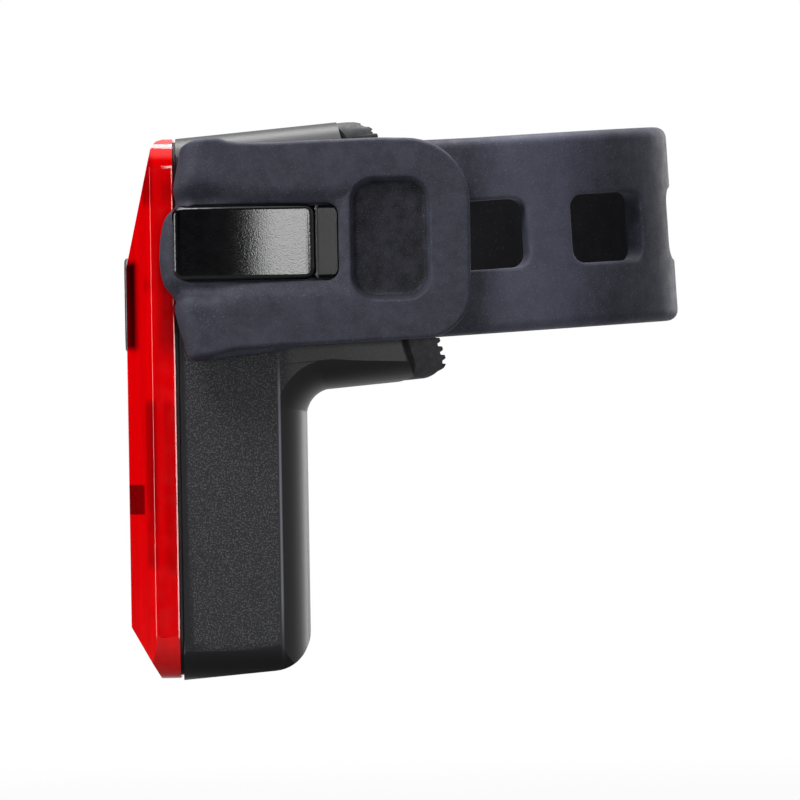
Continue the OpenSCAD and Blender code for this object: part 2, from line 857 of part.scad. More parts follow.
module strap_fold() {
  color("#2b2d35") difference() {
    intersection() {
      translate([fold_x, -fold_d, -tail_bottom]) rotate([0, 0, 90]) rotate_extrude(angle = 180)
        translate([lay_gap / 2, 0]) square([fold_r - lay_gap / 2, tail_top + tail_bottom]);
      along_y(-upper_out, -strap_in) fold_edge();
    }
    translate([tongue_tip - 0.4, -upper_out - pass, -slot_h / 2])
      cube([tongue_l, upper_out - fold_d + pass, slot_h]);
  }
}

module tail_outline() {
  r = tail_corner_r;
  start = fold_x + seat;
  difference() {
    polygon(concat(
      [[start, -tail_bottom], [waist_x, -tail_waist]],
      corner(tail_end - r, r - tail_end_half, r, -90),
      corner(tail_end - r, tail_end_half - r, r, 0),
      [[start, tail_top]]
    ));
    translate([(fold_x + slot_end) / 2 - pass, 0])
      rounded_rect(slot_end - fold_x + 2 * pass, slot_h, 1.5);
  }
}

// Thumb recess with sloping walls
module thumb_recess() {
  slope = 0.9;
  recess_x = slot_end + 1.2 + thumb_w / 2;
  recess_z = 0.2;
  rim_r = 2.9;
  thin = 0.01;
  hull() {
    translate([recess_x, 0, recess_z]) along_y(-upper_out - thin, -upper_out)
      rounded_rect(thumb_w, thumb_h, rim_r, $fn = 32);
    translate([recess_x, 0, recess_z]) along_y(thumb_depth - upper_out - thin, thumb_depth - upper_out)
      rounded_rect(thumb_w - 2 * slope, thumb_h - 2 * slope, rim_r - slope, $fn = 32);
  }
}

module strap_tail() {
  color("#2b2d35") difference() {
    along_y(-upper_out, -upper_in) tail_outline();
    thumb_recess();
  }
}

rear_housing();
lens();
lens_seal();
mode_button();
switch_plunger();
tact_switch();
indicator_window();
indicator_led();
reflector();
leds();
circuit_board();
driver_chips();
board_screws();
battery_cell();
battery_foam();
battery_leads();
usb_socket();
port_cover();
cover_anchor();
near_hook();
far_hook();
saddle_pad();
strap_loop();
strap_fold();
strap_tail();
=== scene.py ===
"""Bike rear light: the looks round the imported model."""
import json
import math

import bmesh
import bpy
import numpy as np
from mathutils import Matrix, Vector


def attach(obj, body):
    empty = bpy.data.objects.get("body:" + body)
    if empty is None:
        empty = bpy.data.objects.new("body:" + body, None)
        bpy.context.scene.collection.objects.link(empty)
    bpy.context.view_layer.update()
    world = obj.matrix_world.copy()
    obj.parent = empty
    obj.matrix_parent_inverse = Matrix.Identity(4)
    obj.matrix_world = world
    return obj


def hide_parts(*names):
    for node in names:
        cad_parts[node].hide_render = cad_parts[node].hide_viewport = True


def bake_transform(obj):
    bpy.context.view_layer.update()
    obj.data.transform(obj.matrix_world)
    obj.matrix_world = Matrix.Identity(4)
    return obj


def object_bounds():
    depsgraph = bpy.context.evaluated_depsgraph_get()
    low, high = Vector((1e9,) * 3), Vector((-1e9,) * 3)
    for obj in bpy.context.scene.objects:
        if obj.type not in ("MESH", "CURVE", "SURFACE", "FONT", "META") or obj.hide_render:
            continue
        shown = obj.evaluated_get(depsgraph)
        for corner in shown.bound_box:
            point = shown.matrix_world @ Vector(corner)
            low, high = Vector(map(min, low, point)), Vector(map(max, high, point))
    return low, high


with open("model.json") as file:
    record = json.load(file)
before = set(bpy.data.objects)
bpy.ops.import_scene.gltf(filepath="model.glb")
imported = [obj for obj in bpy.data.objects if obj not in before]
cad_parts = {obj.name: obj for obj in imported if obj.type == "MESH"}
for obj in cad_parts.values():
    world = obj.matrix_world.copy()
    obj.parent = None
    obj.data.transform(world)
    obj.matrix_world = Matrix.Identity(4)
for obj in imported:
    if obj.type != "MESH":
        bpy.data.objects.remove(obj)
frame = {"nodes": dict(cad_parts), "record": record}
nodes = frame["nodes"]
cad_box = [list(corner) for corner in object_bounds()]
MM = 0.001
scene = bpy.context.scene


# Sizes of the strap, in mm. It is drawn flat, with w along it from the fold to the tail's tip and v across it.

STRAP_T = 2.8            # thickness
STRAP_HALF = 11.5        # half the loop's width
TAIL_EDGE = 0.5          # rounding of the tail's edges
LOOP_EDGE = 1.3          # rounding of the loop's edges
EDGE_STEPS = 5           # faces round a quarter of an edge
LEAN = math.radians(3)   # slope of the loop
LIFT = 0.3               # height of the loop's middle
FOLD_X = -33.2           # axis of the fold
FOLD_D = 18.1
FOLD_MID = 1.5           # radius of the fold's middle line
FOLD_L = math.pi * FOLD_MID
TAIL_L = 34.05           # from the fold to the tail's tip
TAIL_TOP_R = 7.5         # corners of the tail
TAIL_LOW_R = 5.5
MID_D = 16.6             # middle of the strap beside the housing
LOOP_START = -1.62       # start of the first bend
SIDE_R = 30.0            # sides of the loop
SIDE_A = math.radians(50)
SIDE_L = SIDE_R * SIDE_A
END_R = 9.15             # end of the loop
END_X = 14.35
APEX_S = SIDE_L + END_R * (math.pi / 2 - SIDE_A)
FOLD_S = FOLD_X - LOOP_START
ANCHOR_X = -23.3         # the strap's fixed end
ANCHOR_R = 4.0
END_S = 2 * APEX_S + LOOP_START - ANCHOR_X
LADDER = (10.0, 8.1, 1.6)   # length, height and corners of the ladder's holes
LADDER_S = (-11.48, 4.02, 19.52, 35.02, 2 * APEX_S + 11.48)
SLOT_W = (-0.85, 18.55)  # slot over the hook, from the fold to the hook's neck
SLOT_V = -0.04
SLOT_HALF = 4.56
SLOT_R = 1.4
THUMB_W = 24.65          # middle of the thumb recess
THUMB_V = 0.2
THUMB = (9.5, 14.5, 2.9)    # its length, height and corners


# Node helpers

def map_range(tree, value, low, high, to_low, to_high):
    """A value turned from one range to another, with smooth ends."""
    turn = tree.nodes.new("ShaderNodeMapRange")
    turn.interpolation_type = "SMOOTHSTEP"
    for name, limit in (("From Min", low), ("From Max", high), ("To Min", to_low), ("To Max", to_high)):
        turn.inputs[name].default_value = limit
    tree.links.new(value, turn.inputs["Value"])
    return turn.outputs["Result"]


def math_step(tree, kind, *values):
    """A math node fed by sockets and plain numbers."""
    step = tree.nodes.new("ShaderNodeMath")
    step.operation = kind
    for i, value in enumerate(values):
        if isinstance(value, (int, float)):
            step.inputs[i].default_value = value
        else:
            tree.links.new(value, step.inputs[i])
    return step.outputs["Value"]


def mix_shaders(tree, fac, plain, other):
    mix = tree.nodes.new("ShaderNodeMixShader")
    tree.links.new(fac, mix.inputs["Fac"])
    tree.links.new(plain, mix.inputs[1])
    tree.links.new(other, mix.inputs[2])
    return mix.outputs["Shader"]


# Materials

def material(name, color, rough, **sockets):
    """A Principled material with its constant values on the shader's own sockets."""
    mat = bpy.data.materials.new(name)
    mat.use_nodes = True
    shader = mat.node_tree.nodes["Principled BSDF"]
    shader.inputs["Base Color"].default_value = (*color, 1)
    shader.inputs["Roughness"].default_value = rough
    for socket, value in sockets.items():
        shader.inputs[socket.replace("_", " ")].default_value = value
    return mat


def coords(mat, kind="Object"):
    """The surface's place in the row frame, in metres, or its direction, as "Normal"."""
    tree = mat.node_tree
    found = tree.nodes.get("Texture Coordinate")
    return (found or tree.nodes.new("ShaderNodeTexCoord")).outputs[kind]


def noise(mat, size_mm, detail=2.0, rough=0.5, stretch=None):
    """Noise whose grain is about size_mm across."""
    tree = mat.node_tree
    tex = tree.nodes.new("ShaderNodeTexNoise")
    tex.inputs["Scale"].default_value = 1 / (size_mm * MM)
    tex.inputs["Detail"].default_value = detail
    tex.inputs["Roughness"].default_value = rough
    vector = coords(mat)
    if stretch:
        mapping = tree.nodes.new("ShaderNodeMapping")
        mapping.inputs["Scale"].default_value = stretch
        tree.links.new(vector, mapping.inputs["Vector"])
        vector = mapping.outputs["Vector"]
    tree.links.new(vector, tex.inputs["Vector"])
    return tex.outputs["Fac"]


def cells(mat, size_mm, feature="F1"):
    """Voronoi cells about size_mm across."""
    tree = mat.node_tree
    tex = tree.nodes.new("ShaderNodeTexVoronoi")
    tex.feature = feature
    tex.inputs["Scale"].default_value = 1 / (size_mm * MM)
    tree.links.new(coords(mat), tex.inputs["Vector"])
    return tex.outputs["Distance"]


def remap(mat, fac, low, high, to_low, to_high):
    return map_range(mat.node_tree, fac, low, high, to_low, to_high)


def maths(mat, kind, *values):
    return math_step(mat.node_tree, kind, *values)


def product(mat, first, *others):
    for other in others:
        first = maths(mat, "MULTIPLY", first, other)
    return first


def axis_value(mat, axis, kind="Object"):
    """One part of the surface's place or direction."""
    tree = mat.node_tree
    split = tree.nodes.new("ShaderNodeSeparateXYZ")
    tree.links.new(coords(mat, kind), split.inputs["Vector"])
    return split.outputs[axis]


def tint(mat, fac, dark, light, low=0.3, high=0.7):
    """Base colour that goes from dark to light with fac."""
    tree = mat.node_tree
    ramp = tree.nodes.new("ShaderNodeValToRGB")
    ramp.color_ramp.elements[0].position = low
    ramp.color_ramp.elements[1].position = high
    ramp.color_ramp.elements[0].color = (*dark, 1)
    ramp.color_ramp.elements[1].color = (*light, 1)
    tree.links.new(fac, ramp.inputs["Fac"])
    tree.links.new(ramp.outputs["Color"], tree.nodes["Principled BSDF"].inputs["Base Color"])


def roughen(mat, fac, low, high):
    """Roughness that follows fac."""
    tree = mat.node_tree
    tree.links.new(remap(mat, fac, 0.3, 0.7, low, high), tree.nodes["Principled BSDF"].inputs["Roughness"])


def bump(mat, height, strength, depth_mm, below=None):
    """A bump from height, on top of another bump if there is one."""
    tree = mat.node_tree
    step = tree.nodes.new("ShaderNodeBump")
    if isinstance(strength, (int, float)):
        step.inputs["Strength"].default_value = strength
    else:
        tree.links.new(strength, step.inputs["Strength"])
    step.inputs["Distance"].default_value = depth_mm * MM
    tree.links.new(height, step.inputs["Height"])
    if below:
        tree.links.new(below, step.inputs["Normal"])
    tree.links.new(step.outputs["Normal"], tree.nodes["Principled BSDF"].inputs["Normal"])
    return step.outputs["Normal"]


def band(mat, value, middle, half, soft):
    """1 within half of middle, down to 0 over soft, all in mm."""
    off = maths(mat, "ABSOLUTE", maths(mat, "SUBTRACT", value, middle * MM))
    return remap(mat, off, half * MM, (half + soft) * MM, 1.0, 0.0)


def facing(mat, axis):
    """How squarely the surface faces along an axis of the row frame, 0 to 1."""
    return maths(mat, "ABSOLUTE", axis_value(mat, axis, "Normal"))


SPARK_MM = 0.18          # grain of the housing's flanks
CREASE_X = -21.95        # crease between the housing's flank and back
CREASE_Z = -31.0         # middle of the stretch where its highlight is painted
BUTTON_Z = -7.2
WINDOW_Z = -30.05


def housing_black():
    """Spark-eroded flanks, a smoother back and a painted highlight along the crease between them."""
    mat = material("housing_black", (0.012, 0.012, 0.015), 0.42, Specular_IOR_Level=0.5)
    square = facing(mat, "Y")
    x, z = axis_value(mat, "X"), axis_value(mat, "Z")
    flank = product(mat, remap(mat, square, 0.97, 0.995, 0.0, 1.0), remap(mat, x, -0.0225, -0.0196, 1.0, 0.15))
    speck = remap(mat, noise(mat, SPARK_MM, 1.0, 0.5), 0.5, 0.66, 0.0, 0.26)
    # Painted highlight along the crease where the flank meets the back, over part of its height
    crease = product(mat, remap(mat, square, 0.6, 0.7, 0.0, 1.0), band(mat, x, CREASE_X, 0.03, 0.2))
    crease_painted_highlight = product(mat, crease, band(mat, z, CREASE_Z, 10.0, 9.0))
    tone = maths(mat, "MULTIPLY_ADD", speck, flank, crease_painted_highlight)
    tint(mat, tone, (0.004, 0.004, 0.006), (0.26, 0.26, 0.3), 0.0, 1.0)
    roughen(mat, flank, 0.44, 0.55)
    soft = bump(mat, noise(mat, 6.0, 1.0), 0.1, 0.2)
    bump(mat, noise(mat, SPARK_MM, 2.0, 0.6), maths(mat, "MULTIPLY_ADD", flank, 0.85, 0.1), 0.08, soft)
    return mat


def lens_red():
    """Clear red with the wall's streaks, painted shade of the button's well and round it, and the window's
    frame seen in it.
    """
    mat = material("lens_red", (0.9, 0.0, 0.002), 0.06, IOR=1.49, Transmission_Weight=0.12,
                   Specular_IOR_Level=0.5)
    x, z = axis_value(mat, "X"), axis_value(mat, "Z")
    streaks = noise(mat, 1.6, 3.0, 0.6, (1, 1, 0.06))
    patches = remap(mat, noise(mat, 7.0, 1.0, 0.5, (0.3, 0.3, 1)), 0.46, 0.6, 0.0, 1.0)
    wall = product(mat, band(mat, x, -37.1, 0.35, 0.5), patches)
    inner = product(mat, band(mat, x, -34.6, 0.5, 0.9), patches)
    # Painted shade of the button's well on the lens's front, and round the well on its side
    well = product(mat, band(mat, z, BUTTON_Z, 4.6, 1.2), remap(mat, x, -0.0391, -0.038, 1.0, 0.0))
    hollow = product(mat, band(mat, z, BUTTON_Z, 3.5, 4.5), remap(mat, x, -0.0366, -0.0352, 0.0, 1.0))
    window = product(mat, band(mat, z, WINDOW_Z, 1.65, 0.2), remap(mat, x, -0.0381, -0.0379, 1.0, 0.0))
    tone = maths(mat, "MULTIPLY_ADD", streaks, 0.5, 0.68)
    for mask, depth in ((wall, 0.45), (inner, 0.25), (well, 0.9), (hollow, 0.5), (window, 0.72)):
        tone = maths(mat, "MULTIPLY_ADD", mask, -depth, tone)
    tint(mat, tone, (0.03, 0.0, 0.001), (0.98, 0.0, 0.002), 0.0, 1.0)
    roughen(mat, noise(mat, 1.4, 3.0), 0.04, 0.1)
    bump(mat, noise(mat, 5.0, 2.0), 0.06, 0.2)
    return mat


def silicone(name, dark, light, rough=0.6, shade=None):
    """Matte silicone with fine pale specks; shade, if given, adds painted light and shade to its tone."""
    mat = material(name, dark, rough, Specular_IOR_Level=0.25)
    speck = remap(mat, noise(mat, 0.15, 1.0, 0.5), 0.58, 0.8, 0.0, 0.6)
    cloud = remap(mat, noise(mat, 2.2, 4.0, 0.7), 0.3, 0.7, 0.25, 0.4)
    tone = maths(mat, "ADD", cloud, speck)
    if shade:
        tone = maths(mat, "ADD", tone, shade(mat))
    tint(mat, tone, dark, light, 0.0, 1.0)
    roughen(mat, noise(mat, 1.6, 3.0), rough - 0.05, rough + 0.05)
    fine = bump(mat, noise(mat, 0.2, 2.0, 0.6), 0.5, 0.04)
    bump(mat, noise(mat, 2.0, 2.0), 0.06, 0.06, fine)
    return mat


def strap_painted_shade_and_light(mat):
    """Painted shade in the thumb recess and inside the loop's far side, and painted light on its near bend
    that turns to painted shade at the loop's end.
    """
    x, y, z = (axis_value(mat, axis) for axis in "XYZ")
    # Painted shade on the thumb recess's floor and walls
    depth = product(mat, remap(mat, y, -0.0204, -0.0196, 0.0, 1.0), remap(mat, y, -0.0186, -0.0184, 1.0, 0.0))
    recess = product(mat, band(mat, x, FOLD_X + THUMB_W, 4.9, 0.4), band(mat, z, 0.0, 7.5, 0.4), depth)
    # Painted light on the near side of the loop's bend, turning to painted shade towards the loop's end
    bend_painted_light_and_shade = product(mat, remap(mat, x, 0.001, 0.006, 0.0, 1.0), remap(mat, x, 0.01, 0.019, 1.0, -0.3))
    near = product(mat, bend_painted_light_and_shade, remap(mat, y, -0.012, -0.002, 0.34, 0.0))
    # Painted shadow on the inner face of the loop's far side, seen through the holes
    run = maths(mat, "POWER", maths(mat, "SUBTRACT", x, LOOP_START * MM), 2)
    rise = maths(mat, "POWER", maths(mat, "ADD", y, (SIDE_R - MID_D) * MM), 2)
    reach = maths(mat, "SQRT", maths(mat, "ADD", run, rise))
    face = (SIDE_R - STRAP_T / 2) * MM
    within = remap(mat, reach, face + 0.0001, face + 0.0005, 1.0, 0.0)
    inner = product(mat, within, remap(mat, y, 0.0, 0.002, 0.0, 1.0))
    return maths(mat, "MULTIPLY_ADD", inner, -0.6, maths(mat, "MULTIPLY_ADD", recess, -0.24, near))


def hook_black():
    """Gloss on the tongue, duller on the neck."""
    mat = material("hook_black", (0.004, 0.004, 0.0045), 0.2, Specular_IOR_Level=0.5)
    tint(mat, noise(mat, 1.0, 2.0), (0.003, 0.003, 0.0035), (0.006, 0.006, 0.007))
    roughen(mat, remap(mat, axis_value(mat, "X"), -0.0174, -0.0171, 0.3, 0.7), 0.13, 0.3)
    bump(mat, noise(mat, 0.16, 1.0, 0.5), 0.35, 0.03)
    return mat


def rubber(name, dark, light, rough=0.62):
    mat = material(name, dark, rough, Specular_IOR_Level=0.4)
    tint(mat, noise(mat, 0.8, 4.0, 0.65), dark, light)
    roughen(mat, noise(mat, 1.2, 2.0), rough - 0.06, rough + 0.08)
    bump(mat, noise(mat, 0.2, 3.0, 0.6), 0.4, 0.03)
    return mat


def plastic(name, dark, light, rough, grain_mm=0.25, depth=0.02):
    mat = material(name, dark, rough, Specular_IOR_Level=0.5)
    tint(mat, noise(mat, 1.5, 3.0), dark, light)
    roughen(mat, noise(mat, 0.9, 2.0), max(0.05, rough - 0.06), rough + 0.06)
    bump(mat, noise(mat, grain_mm, 2.0), 0.3, depth)
    return mat


def metal(name, dark, light, rough, stretch):
    mat = material(name, light, rough, Metallic=1.0)
    tint(mat, noise(mat, 0.35, 3.0, 0.6, stretch), dark, light)
    roughen(mat, noise(mat, 0.2, 2.0, 0.5, stretch), rough - 0.08, rough + 0.1)
    bump(mat, noise(mat, 0.12, 2.0, 0.5, stretch), 0.25, 0.01)
    return mat


def window_dark():
    mat = material("window_dark", (0.05, 0.002, 0.004), 0.08, Transmission_Weight=0.35, IOR=1.49)
    tint(mat, noise(mat, 1.2, 2.0), (0.03, 0.001, 0.002), (0.09, 0.003, 0.006))
    roughen(mat, noise(mat, 0.8, 2.0), 0.06, 0.12)
    bump(mat, noise(mat, 2.0, 2.0), 0.08, 0.05)
    return mat


def board_green():
    mat = material("board_green", (0.02, 0.16, 0.07), 0.35, Specular_IOR_Level=0.5)
    tracks = cells(mat, 1.6, "DISTANCE_TO_EDGE")
    tint(mat, remap(mat, tracks, 0.04, 0.1, 1.0, 0.0), (0.012, 0.12, 0.05), (0.03, 0.22, 0.1), 0.0, 1.0)
    roughen(mat, noise(mat, 0.7, 2.0), 0.28, 0.42)
    bump(mat, remap(mat, tracks, 0.04, 0.1, 1.0, 0.0), 0.4, 0.03)
    return mat


MATERIALS = {
    "housing_black": housing_black(),
    "lens_red": lens_red(),
    "seal_grey": rubber("seal_grey", (0.012, 0.011, 0.012), (0.03, 0.028, 0.03)),
    "button_grey": plastic("button_grey", (0.05, 0.046, 0.05), (0.09, 0.082, 0.088), 0.38),
    "switch_metal": metal("switch_metal", (0.45, 0.45, 0.46), (0.7, 0.7, 0.7), 0.34, (1, 6, 1)),
    "window_dark": window_dark(),
    "reflector_white": plastic("reflector_white", (0.78, 0.78, 0.77), (0.88, 0.88, 0.87), 0.2, 0.5, 0.01),
    "led_body": plastic("led_body", (0.8, 0.62, 0.5), (0.92, 0.8, 0.7), 0.22, 0.4, 0.01),
    "board_green": board_green(),
    "chip_black": plastic("chip_black", (0.015, 0.015, 0.016), (0.03, 0.03, 0.032), 0.5, 0.15, 0.02),
    "screw_steel": metal("screw_steel", (0.4, 0.4, 0.41), (0.66, 0.65, 0.62), 0.3, (1, 1, 1)),
    "cell_foil": metal("cell_foil", (0.55, 0.55, 0.57), (0.78, 0.78, 0.8), 0.32, (1, 1, 5)),
    "foam_grey": rubber("foam_grey", (0.16, 0.16, 0.17), (0.3, 0.3, 0.31), 0.85),
    "lead_red": rubber("lead_red", (0.4, 0.015, 0.015), (0.6, 0.03, 0.03), 0.4),
    "socket_steel": metal("socket_steel", (0.5, 0.5, 0.51), (0.75, 0.75, 0.76), 0.26, (5, 1, 1)),
    "cover_silicone": silicone("cover_silicone", (0.028, 0.028, 0.033), (0.06, 0.06, 0.07)),
    "hook_black": hook_black(),
    "pad_rubber": rubber("pad_rubber", (0.032, 0.032, 0.036), (0.07, 0.07, 0.076)),
    "strap_silicone": silicone("strap_silicone", (0.003, 0.003, 0.005), (0.122, 0.125, 0.178),
                               shade=strap_painted_shade_and_light),
}

# Edges of the nodes that keep their CAD solids

# Bevel of each node's edges, in mm
BEVELS = {
    "rear_housing": 0.35, "lens": 0.28, "near_hook": 0.6, "far_hook": 0.6, "mode_button": 0.35,
    "saddle_pad": 0.08, "port_cover": 0.18, "cover_anchor": 0.15, "indicator_window": 0.08, "reflector": 0.2,
    "circuit_board": 0.08, "battery_cell": 0.3, "usb_socket": 0.06, "tact_switch": 0.12, "driver_chips": 0.08,
    "leds": 0.12, "indicator_led": 0.1, "board_screws": 0.15, "battery_foam": 0.3, "switch_plunger": 0.15,
    "lens_seal": 0.06,
}
# Nodes whose bevel goes only on some edges: least length and least distance to the side, in mm
PICKED = {
    "near_hook": (0.0, 19.9), "far_hook": (0.0, 19.9), "lens": (20.0, -1.0), "rear_housing": (20.0, 12.0),
}
SMALL_BEVEL = 0.3               # bevel of the other edges of those nodes
MERGE = 2e-6
FLAT_ANGLE = math.radians(0.4)  # faces this close to level become one
EDGE_ANGLE = math.radians(22)   # sharper edges are rounded
NORMAL_WEIGHT = 60


def edge_picker(name, least_mm, side_mm):
    """Node group that marks edges for the bevel: sharp, long enough and far enough out to the side."""
    tree = bpy.data.node_groups.new(name, "GeometryNodeTree")
    for way in ("INPUT", "OUTPUT"):
        tree.interface.new_socket("Geometry", in_out=way, socket_type="NodeSocketGeometry")
    start, end = tree.nodes.new("NodeGroupInput"), tree.nodes.new("NodeGroupOutput")
    ends = tree.nodes.new("GeometryNodeInputMeshEdgeVertices")
    angle = tree.nodes.new("GeometryNodeInputMeshEdgeAngle")
    span = tree.nodes.new("ShaderNodeVectorMath")
    span.operation = "DISTANCE"
    tests = [(span.outputs["Value"], least_mm)]
    for i, place_name in enumerate(("Position 1", "Position 2")):
        tree.links.new(ends.outputs[place_name], span.inputs[i])
        split = tree.nodes.new("ShaderNodeSeparateXYZ")
        tree.links.new(ends.outputs[place_name], split.inputs["Vector"])
        tests.append((math_step(tree, "ABSOLUTE", split.outputs["Y"]), side_mm))
    picked = math_step(tree, "GREATER_THAN", angle.outputs["Unsigned Angle"], EDGE_ANGLE)
    for value, least in tests:
        picked = math_step(tree, "MULTIPLY", picked, math_step(tree, "GREATER_THAN", value, least * MM))
    store = tree.nodes.new("GeometryNodeStoreNamedAttribute")
    store.domain = "EDGE"
    store.data_type = "FLOAT"
    store.inputs["Name"].default_value = "bevel_weight_edge"
    tree.links.new(start.outputs["Geometry"], store.inputs["Geometry"])
    tree.links.new(picked, store.inputs["Value"])
    tree.links.new(store.outputs["Geometry"], end.inputs["Geometry"])
    return tree


def round_edges(obj, width_mm, limit, segments):
    """A bevel on sharp edges, or only on the marked ones."""
    edge = obj.modifiers.new("edge", "BEVEL")
    edge.width = width_mm * MM
    edge.segments = segments
    edge.limit_method = limit
    edge.angle_limit = EDGE_ANGLE
    edge.use_clamp_overlap = limit == "ANGLE"
    edge.harden_normals = False


def dress(node, slot):
    """Material, rounded edges and even shading for a carried-over CAD node."""
    obj = nodes[node]
    obj.data.materials.clear()
    obj.data.materials.append(MATERIALS[slot])
    for face in obj.data.polygons:
        face.use_smooth = True
    weld = obj.modifiers.new("weld", "WELD")
    weld.merge_threshold = MERGE
    if node in BEVELS:
        flat = obj.modifiers.new("flat", "DECIMATE")
        flat.decimate_type = "DISSOLVE"
        flat.angle_limit = FLAT_ANGLE
        if node in PICKED:
            obj.modifiers.new("pick", "NODES").node_group = edge_picker(node + "_edges", *PICKED[node])
            round_edges(obj, BEVELS[node], "WEIGHT", 5)
            round_edges(obj, SMALL_BEVEL, "ANGLE", 3)
        else:
            round_edges(obj, BEVELS[node], "ANGLE", 3)
    even = obj.modifiers.new("even", "WEIGHTED_NORMAL")
    even.keep_sharp = False
    even.weight = NORMAL_WEIGHT


STRAP_NODES = ("strap_loop", "strap_fold", "strap_tail")
for row in frame["record"]["subparts"]:
    if row["node"] not in STRAP_NODES:
        dress(row["node"], row["material_slot"])


# Strap: drawn flat, then laid along its path

# Top and bottom edges of the strap along w
TOP_EDGE = ((-60, 11.5), (-40, 11.52), (-36, 11.6), (-33, 11.66), (-28, 11.6), (-9, 11.5), (-4.7, 11.6),
            (-2.4, 12.05), (-0.4, 12.35), (0.8, 12.42), (4.0, 12.02), (7.5, 11.78), (11.1, 11.7), (14, 11.84),
            (19.8, 11.99), (23.4, 12.08), (26.5, 11.98), (40, 11.95))
BOTTOM_EDGE = ((-60, -11.5), (-18, -11.55), (-16.7, -11.72), (-14.6, -11.98), (-13, -12.15), (-9, -12.25),
               (-4.7, -12.4), (-2.4, -13.0), (-1.0, -13.42), (-0.3, -13.26), (0.6, -13.06), (1.3, -12.97),
               (2.7, -12.86), (4.0, -12.74), (5.5, -12.64), (7.5, -12.44), (11.3, -12.24), (16.4, -12.08),
               (22.9, -11.83), (29.5, -11.55), (40, -11.5))
# X of the fold's left edge at a height
FOLD_EDGE = ((-15.5, -31.2), (-12.9, -32.5), (-8.85, -33.58), (-7.3, -34.0), (-6.6, -34.36), (-5.9, -34.81),
             (-5.2, -35.1), (-3.8, -35.4), (-2.3, -35.58), (-0.6, -35.64), (1.2, -35.52), (2.6, -35.3),
             (4.0, -34.98), (5.4, -34.56), (6.8, -34.13), (8.0, -33.78), (9.4, -33.55), (12.1, -33.07),
             (15, -32.4))
FOLD_TILT = 0.026        # slant of the fold's left edge
PUSH_FADE = 7.5          # length over which the strap beside the fold follows that edge
LIP_OUT = 0.25           # swelling of the strap in front of the tongue
CHEEK_OUT = 0.1          # and above and below it; more would touch the lens when the tail is peeled
VALLEY_IN = 1.1          # hollows between them
RIM_IN = 0.8             # sunk rim of the slot


def smooth_line(points, low, high, step, blur):
    """A line through points, sampled evenly and blurred, as a function."""
    at = np.arange(low, high + step, step)
    value = np.interp(at, [p[0] for p in points], [p[1] for p in points])
    reach = int(3 * blur / step)
    kernel = np.exp(-0.5 * (np.arange(-reach, reach + 1) * step / blur) ** 2)
    padded = np.concatenate([np.full(reach, value[0]), value, np.full(reach, value[-1])])
    value = np.convolve(padded, kernel / kernel.sum(), "valid")
    return lambda x: np.interp(x, at, value)


top_edge = smooth_line(TOP_EDGE, -150, 40, 0.1, 0.8)
bottom_edge = smooth_line(BOTTOM_EDGE, -150, 40, 0.1, 0.7)
fold_edge = smooth_line(FOLD_EDGE, -16, 16, 0.1, 0.6)


def smooth_step(x):
    x = np.clip(x, 0, 1)
    return x * x * (3 - 2 * x)


def swell(w, v, h):
    """How far the strap's outer face stands out of its plain shape, in mm."""
    outer = (h + STRAP_T / 2) / STRAP_T
    side = np.abs(v + 0.1)
    along = smooth_step((w + 4.2) / 2.2) * (1 - smooth_step((w - 1.0) / 8.5))
    valley = np.exp(-((side - 5.5) / 1.0) ** 2) * along
    lip = np.exp(-(v / 4.0) ** 4) * np.exp(-((w + 1.6) / 1.4) ** 2)
    cheek_along = smooth_step((w + 3.4) / 2) * (1 - smooth_step((w - 0.5) / 6))
    cheek = np.exp(-((side - 8.6) / 1.7) ** 2) * cheek_along
    off_slot = np.maximum(np.maximum(np.abs(v - SLOT_V) - SLOT_HALF, w - SLOT_W[1]), SLOT_W[0] - w)
    rim = np.exp(-(np.maximum(off_slot, 0) / 1.1) ** 2) * smooth_step((w + 3.5) / 2)
    return outer * (LIP_OUT * lip + CHEEK_OUT * cheek - VALLEY_IN * valley - RIM_IN * rim)


def loop_at(s):
    """Middle line of the loop in plan, and the way out from it, at a length along it."""
    back = s > APEX_S
    s = np.where(back, 2 * APEX_S - s, s)
    turn = np.where(s <= 0, 0, np.where(s <= SIDE_L, s / SIDE_R, SIDE_A + (s - SIDE_L) / END_R))
    x = np.where(s <= 0, LOOP_START + s, np.where(
        s <= SIDE_L, LOOP_START + SIDE_R * np.sin(turn), END_X + END_R * np.sin(turn)))
    y = np.where(s <= 0, -MID_D, np.where(
        s <= SIDE_L, -MID_D + SIDE_R * (1 - np.cos(turn)), -END_R * np.cos(turn)))
    side = np.where(back, -1, 1)
    return x, side * y, np.sin(turn), -side * np.cos(turn)


def place(flat):
    """Points of the flat strap (w, v, h) laid along its path, in metres."""
    w, v, h = flat.T
    h = h + swell(w, v, h)
    reach = FOLD_MID + STRAP_T / 2
    push = fold_edge(v) + reach - FOLD_X + FOLD_TILT * v
    turn = np.clip(-w / FOLD_MID, 0, math.pi)
    tail, loop = w >= 0, w <= -FOLD_L
    s = FOLD_S - (w + FOLD_L)
    lx, ly, out_x, out_y = loop_at(s)
    fade = 1 - smooth_step(np.where(tail, w, np.where(loop, -w - FOLD_L, 0)) / PUSH_FADE)
    x = np.where(tail, FOLD_X + w, np.where(loop, lx - h * out_x, FOLD_X - (FOLD_MID + h) * np.sin(turn)))
    y = np.where(tail, -FOLD_D - FOLD_MID - h, np.where(
        loop, ly - h * out_y, -FOLD_D - (FOLD_MID + h) * np.cos(turn)))
    x = x + push * fade * (s < APEX_S)
    share = smooth_step(turn / math.pi)
    lean = LEAN * share
    z = x * np.sin(lean) + v * np.cos(lean) + LIFT * share
    world = np.stack([x * np.cos(lean) - v * np.sin(lean), y, z], 1)
    return world * MM


